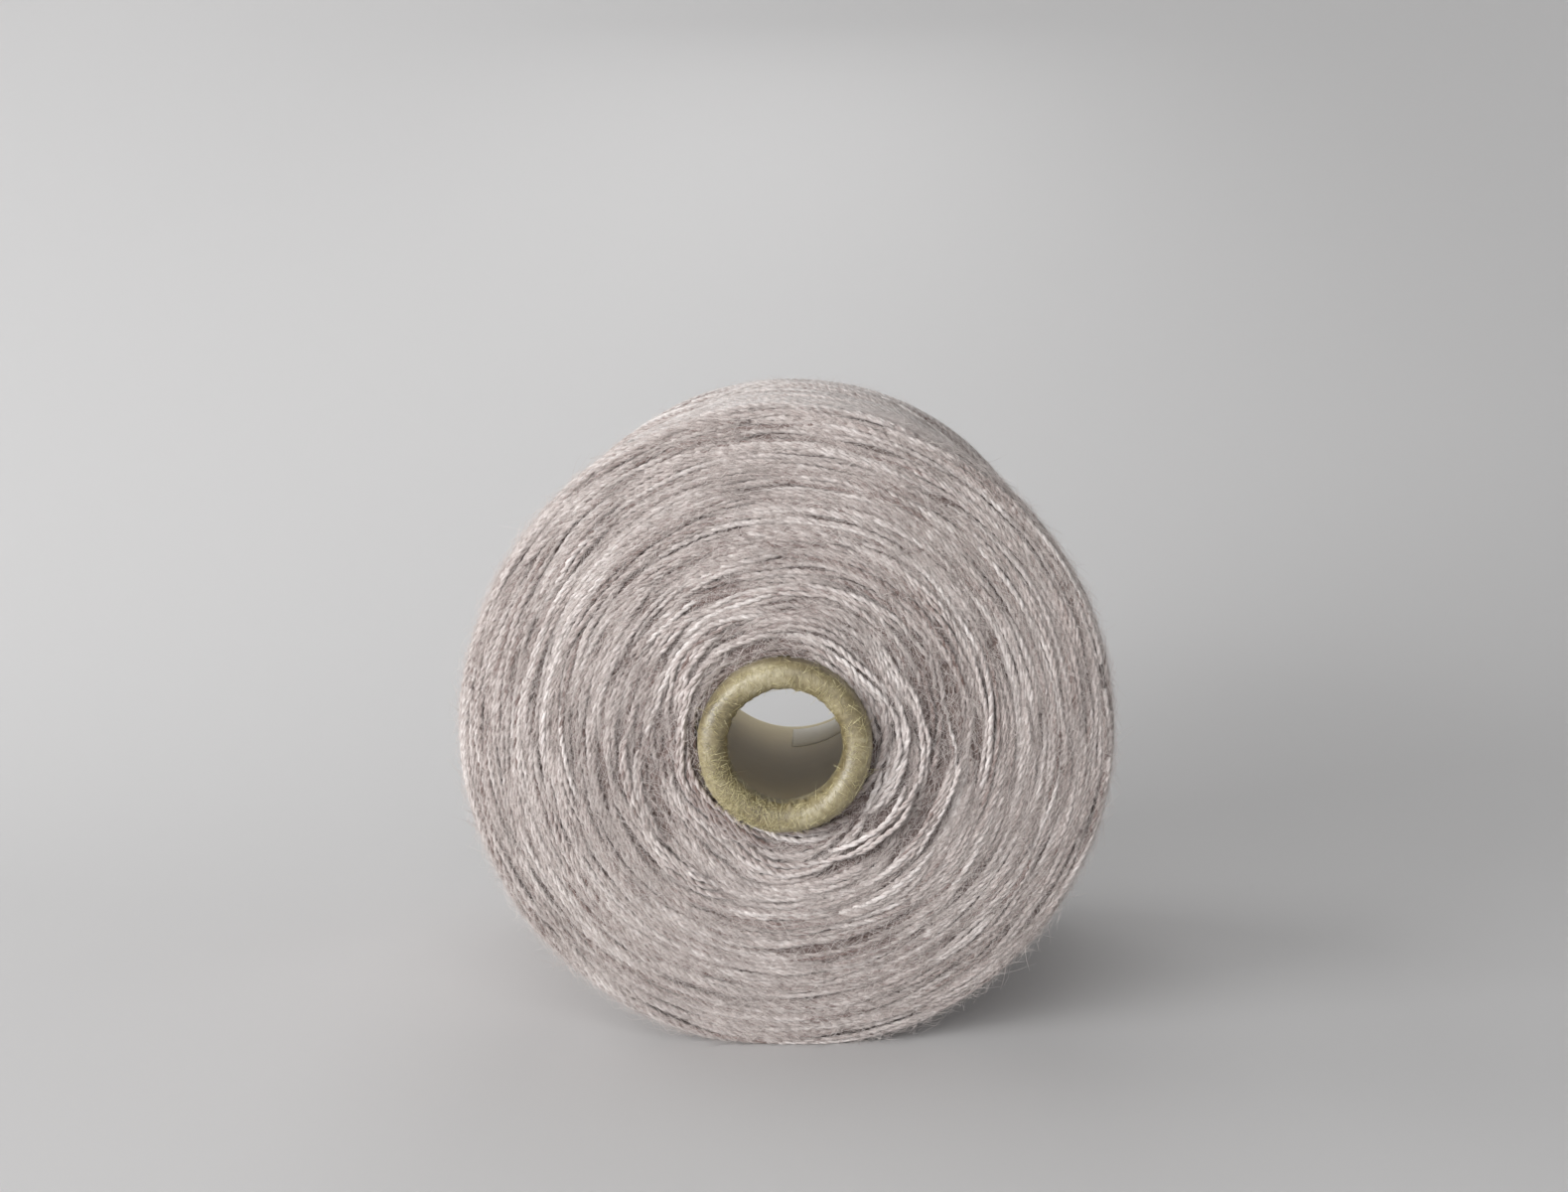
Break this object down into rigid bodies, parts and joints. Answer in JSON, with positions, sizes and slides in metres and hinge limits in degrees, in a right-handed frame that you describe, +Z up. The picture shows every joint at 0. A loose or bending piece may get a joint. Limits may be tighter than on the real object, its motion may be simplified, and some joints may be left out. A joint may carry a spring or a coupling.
{
  "type": "yarn cone",
  "caption": "Cone of fine hairy yarn, cross-wound on a tapered paper tube with a curled nose, lying on its side.",
  "frame": {"origin": "on the table, at the middle of the bounding box's underside", "axes": "+Z is up from the table; the cone lies on its side with its nose towards -Y and its base towards +Y; its own axis lies over the Y axis and rises by the 4 degree 20 minute taper towards the base"},
  "size_m": [0.1606, 0.173, 0.1586],
  "materials": {
    "cone_paper": "matt, mottled rolled paper board",
    "label_paper": "matt uncoated paper",
    "yarn": "soft hairy two-ply yarn"
  },
  "bodies": {
    "root": {"paper_cone": "cone_paper", "inside_label": "label_paper", "yarn_package": "yarn", "front_face_turns": "yarn", "side_turns": "yarn", "base_face_turns": "yarn"}
  },
  "joints": []
}
